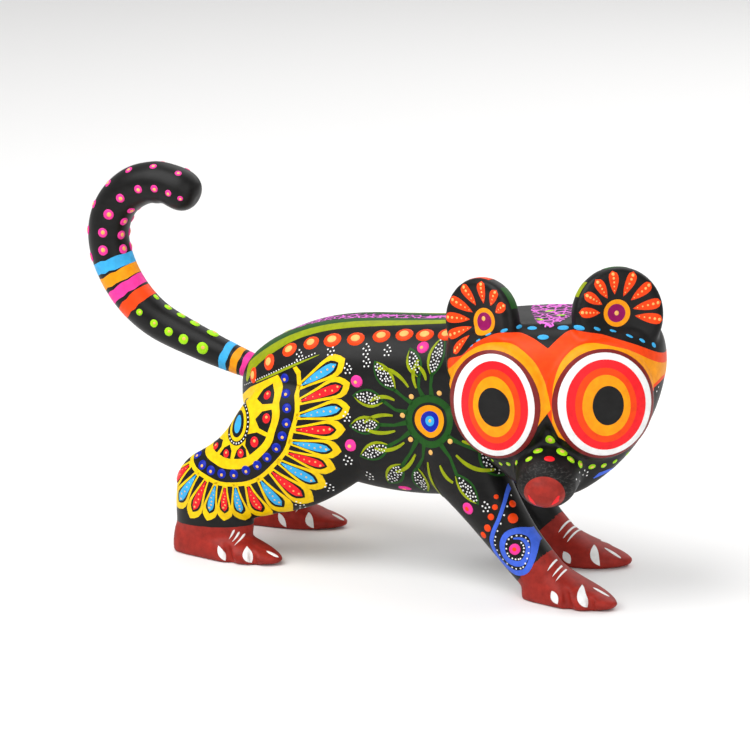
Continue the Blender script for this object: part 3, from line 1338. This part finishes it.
class PaintBack(Operator):
    """Paint the bands and the net along the back, and the row of ovals beneath them"""

    bl_idname = "painted_animal.back"
    bl_label = "Paint the back"

    def execute(self, context):
        above = Matrix.Translation((0, MID_Y, 0))
        outer = ((-43.5, 13.0), (-41.0, 14.4), (-32.0, 15.4), (-24.5, 14.6), (-10.0, 12.6), (7.0, 10.6),
                 (30.0, 8.6),
                 (56.0, 8.4))
        middle = ((-44.0, 9.5), (-40.0, 10.8), (-34.6, 11.4), (-24.0, 10.6), (-10.0, 8.6), (5.0, 6.6),
                  (27.0, 5.2),
                  (56.0, 5.2))
        inner = ((-44.0, 5.4), (-38.0, 5.6), (-32.0, 5.4), (-22.0, 4.7), (-8.0, 3.7), (8.0, 2.9),
                 (30.0, 2.5),
                 (56.0, 2.5))
        for side, name in ((-1, "right"), (1, "left")):
            rows = [[(x, side * y) for x, y in smooth(line)] for line in (outer, middle, inner)]
            film(f"{name}_back_olive", [rows[0] + rows[1][::-1]], above, "back", 1, plain("olive"),
                 *OVERHEAD)
            film(f"{name}_back_green", [rows[1] + rows[2][::-1]], above, "back", 1, plain("green"),
                 *OVERHEAD)
            ovals = ((-39.4, 63.8, 2.0, 2.9, 0.2), (-32.4, 69.6, 2.6, 3.1, 0.5),
                     (-24.6, 74.8, 3.2, 2.7, 0.3),
                     (-16.4, 78.0, 3.2, 2.7, 0.1), (-8.4, 79.8, 3.5, 2.9, 0.1), (0.3, 81.0, 3.5, 2.8, 0.0),
                     (9.4, 82.7, 3.5, 2.8, 0.0), (17.7, 83.9, 3.5, 2.8, 0.0), (25.4, 84.6, 3.6, 2.8, 0.0),
                     (33.4, 85.6, 3.4, 2.8, 0.0))
            place = side_frame(side)
            dots(f"{name}_ovals", [(place, *row) for row in ovals], "body", plain("vermilion", rough=0.34),
                 rise=0.22)
            dots(f"{name}_oval_hearts", hearts([(place, *row) for row in ovals], 0.5, rise=0.22), "body",
                 plain("gold"))
        edge = smooth(inner)
        crown = [(x, -y + 0.3) for x, y in edge] + [(x, y - 0.3) for x, y in edge[::-1]]
        film("back_net", [crown], above, "back", 1, net_paint(), *OVERHEAD)
        strip = smooth([(-9.5, 16.0), (-8.6, 6.0), (-6.2, -4.0), (-4.4, -11.0), (-1.8, -15.0), (1.6, -15.2),
                        (3.9, -11.0), (5.6, -4.0), (7.6, 6.0), (8.5, 16.0)])
        film("head_net", [strip], HEAD, "head", 1, net_paint(), 14, 60)
        limes = [(above, -34 + 11.5 * k, 1.2 * math.sin(2.1 * k), 2.2, 1.15, 0.3 * math.sin(3.0 * k))
                 for k in range(8)]
        dots("back_lime_ovals", limes, "body", plain("lime"), rise=0.25)
        dots("head_lime_ovals", [(HEAD, -3.6, -8.0, 1.9, 1.0, -0.8), (HEAD, 2.6, -2.0, 1.9, 0.9, 0.2),
                                 (HEAD, -2.0, 4.5, 2.0, 1.0, 0.6)], "head", plain("lime"), rise=0.25)
        return {"FINISHED"}


class PaintForeLegs(Operator):
    """Paint the scrolls and dots on the front legs"""

    bl_idname = "painted_animal.fore_legs"
    bl_label = "Paint the front legs"

    def execute(self, context):
        for side, name in ((-1, "right"), (1, "left")):
            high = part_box(f"{name}_fore_leg")[1]
            self.scroll(name, side_frame(side), high.x / MM - 35.1, 18.0)
        return {"FINISHED"}

    def scroll(self, name, place, x0, y0):
        path = smooth([(x0 + x, y0 + y) for x, y in (
            (-5.9, 21.0), (-5.6, 15.0), (-6.4, 9.8), (-8.2, 4.8), (-9.0, 1.2), (-7.8, -3.0), (-5.0, -6.2),
            (-0.5, -8.3), (3.7, -7.2), (5.5, -4.0), (5.9, 0.2), (4.2, 4.4), (0.5, 6.0), (-3.3, 4.6),
            (-4.8, 0.6), (-3.6, -3.4), (-0.4, -4.9), (2.8, -4.2), (4.1, -1.2), (3.6, 1.6), (1.6, 3.4),
            (-1.0, 3.5))], steps=4)
        total = len(path) - 1
        widths = [0.25 + 0.75 * math.sin(math.pi * min(1.0, 0.04 + k / total * 1.02)) ** 0.7
                  if k / total < 0.5 else 1.0 - 0.75 * max(0.0,
                                                           k / total - 0.8) / 0.2 for k in range(total + 1)]
        film(f"{name}_scroll", [stroke(path, widths)], place, name, 1, plain("cornflower"), 20.5, 60)
        specks = []
        for k in range(3, total - 3, 2):
            (x, y), (bx, by) = path[k], path[k + 1]
            run = math.hypot(bx - x, by - y) or 1.0
            off = widths[k] + 0.55
            specks.append((place, x - (by - y) / run * off, y + (bx - x) / run * off, 0.32, 0.32, 0.0))
        specks += clusters(place, [(x0 + x, y0 + y) for x, y in ((-11.3, 12.8), (5.6, 9.0))])
        dots(f"{name}_scroll_specks", specks, "body", plain("white"), **FINE, lift=0.05)
        pinks = [(place, x0 - 0.2, y0, 2.0, 1.95, 0.0), (place, x0 - 18.2, y0 + 11.6, 2.3, 2.1, -0.5)]
        dots(f"{name}_scroll_dot", pinks, "body", plain("pink", rough=0.34))
        dots(f"{name}_scroll_heart", hearts(pinks, 0.4), "body", plain("vermilion", rough=0.34))
        reds = ((-8.3, 16.6, 0.85), (-8.2, 13.3, 1.0), (-9.2, 10.0, 1.15), (-10.4, 6.0, 1.35),
                (-12.4, 3.0, 1.3),
                (-4.4, 17.3, 0.95), (-3.4, 14.1, 1.3), (-2.2, 9.8, 1.8))
        dots(f"{name}_scroll_reds", [(place, x0 + x, y0 + y, r, r, 0.0) for x, y, r in reds], "body",
             plain("vermilion", rough=0.32))


VIEW_AZIMUTH, VIEW_ELEVATION = math.radians(25.7), math.radians(14.0)
VIEW_DISTANCE, VIEW_WIDTH, SENSOR_WIDTH = 1.5, 0.258, 36.0
VIEW_TARGET = Vector((-0.25 * MM, MID_Y, 64.6 * MM))
LAMP_AIM = Vector((0, 0, 0.06))
LAMP_WATTS = 22.0


class SetStage(Operator):
    """Make the floor, the lights and the camera"""

    bl_idname = "painted_animal.stage"
    bl_label = "Set the stage"

    def execute(self, context):
        only(NODES["torso"])
        bpy.ops.mesh.primitive_plane_add(size=6.0, location=(0, 0, -0.05 * MM))
        floor = bpy.context.object
        floor.name = "floor"
        material = bpy.data.materials.new("floor_white")
        material.use_nodes = True
        nodes, links = material.node_tree.nodes, material.node_tree.links
        shader = nodes["Principled BSDF"]
        shader.inputs["Roughness"].default_value = 0.9
        mottle = nodes.new("ShaderNodeTexNoise")
        mottle.inputs["Scale"].default_value = 3.0
        ramp = nodes.new("ShaderNodeValToRGB")
        ramp.color_ramp.elements[0].color = (0.86, 0.855, 0.85, 1)
        ramp.color_ramp.elements[1].color = (0.90, 0.895, 0.89, 1)
        links.new(mottle.outputs["Fac"], ramp.inputs["Fac"])
        links.new(ramp.outputs["Color"], shader.inputs["Base Color"])
        coat(floor, material)
        self.light("key", (-0.35, -0.55, 0.95), 1.1, 0.55)
        self.light("fill", (0.75, -0.75, 0.55), 1.2, 0.22)
        self.light("back", (0.1, 0.8, 0.9), 1.4, 0.30)
        world = bpy.data.worlds.new("studio")
        context.scene.world = world
        world.use_nodes = True
        world.node_tree.nodes["Background"].inputs["Color"].default_value = (1, 1, 1, 1)
        world.node_tree.nodes["Background"].inputs["Strength"].default_value = 0.50
        self.camera(context.scene)
        context.scene.view_settings.view_transform = "Standard"
        return {"FINISHED"}

    def light(self, name, spot, size, power):
        data = bpy.data.lights.new(name, "AREA")
        data.shape = "DISK"
        data.size = size
        data.energy = power * LAMP_WATTS
        lamp = bpy.data.objects.new(name, data)
        bpy.context.scene.collection.objects.link(lamp)
        lamp.location = spot
        lamp.rotation_euler = (LAMP_AIM - Vector(spot)).to_track_quat("-Z", "Y").to_euler()

    def camera(self, scene):
        level = math.cos(VIEW_ELEVATION)
        back = Vector((math.sin(VIEW_AZIMUTH) * level, -math.cos(VIEW_AZIMUTH) * level,
                       math.sin(VIEW_ELEVATION)))
        data = bpy.data.cameras.new("camera")
        data.sensor_width = SENSOR_WIDTH
        data.lens = SENSOR_WIDTH * VIEW_DISTANCE / VIEW_WIDTH
        camera = bpy.data.objects.new("camera", data)
        scene.collection.objects.link(camera)
        camera.location = VIEW_TARGET + back * VIEW_DISTANCE
        camera.rotation_euler = (-back).to_track_quat("-Z", "Y").to_euler()
        scene.camera = camera


class PaintedAnimalPanel(Panel):
    """Lists the steps that build the figure"""

    bl_label = "Painted Animal"
    bl_idname = "VIEW3D_PT_painted_animal"
    bl_space_type = "VIEW_3D"
    bl_region_type = "UI"
    bl_category = "Painted Animal"

    def draw(self, context):
        for step in STEPS:
            self.layout.operator(step.bl_idname)
        for group in (sizes(), colours()):
            for key in group.__annotations__:
                self.layout.prop(group, key)


STEPS = [CarveFigure, CarveTail, WoodParts, PaintPaws, PaintTail, PaintFace, PaintEars, PaintHaunches,
         PaintShoulders, PaintBack, PaintForeLegs, SetStage]
CLASSES = [PaintColours, CarvingSizes, *STEPS, PaintedAnimalPanel]


def register():
    for item in CLASSES:
        bpy.utils.register_class(item)
    bpy.types.Scene.paint_colours = PointerProperty(type=PaintColours)
    bpy.types.Scene.carving_sizes = PointerProperty(type=CarvingSizes)


def unregister():
    del bpy.types.Scene.carving_sizes
    del bpy.types.Scene.paint_colours
    for item in reversed(CLASSES):
        bpy.utils.unregister_class(item)


def main():
    register()
    for step in STEPS:
        group, action = step.bl_idname.split(".")
        getattr(getattr(bpy.ops, group), action)()
    for key, piece in list(SKIN.items()):
        if isinstance(piece, bpy.types.Object):
            drop(piece)
    SKIN.clear()


if __name__ == "__main__":
    main()
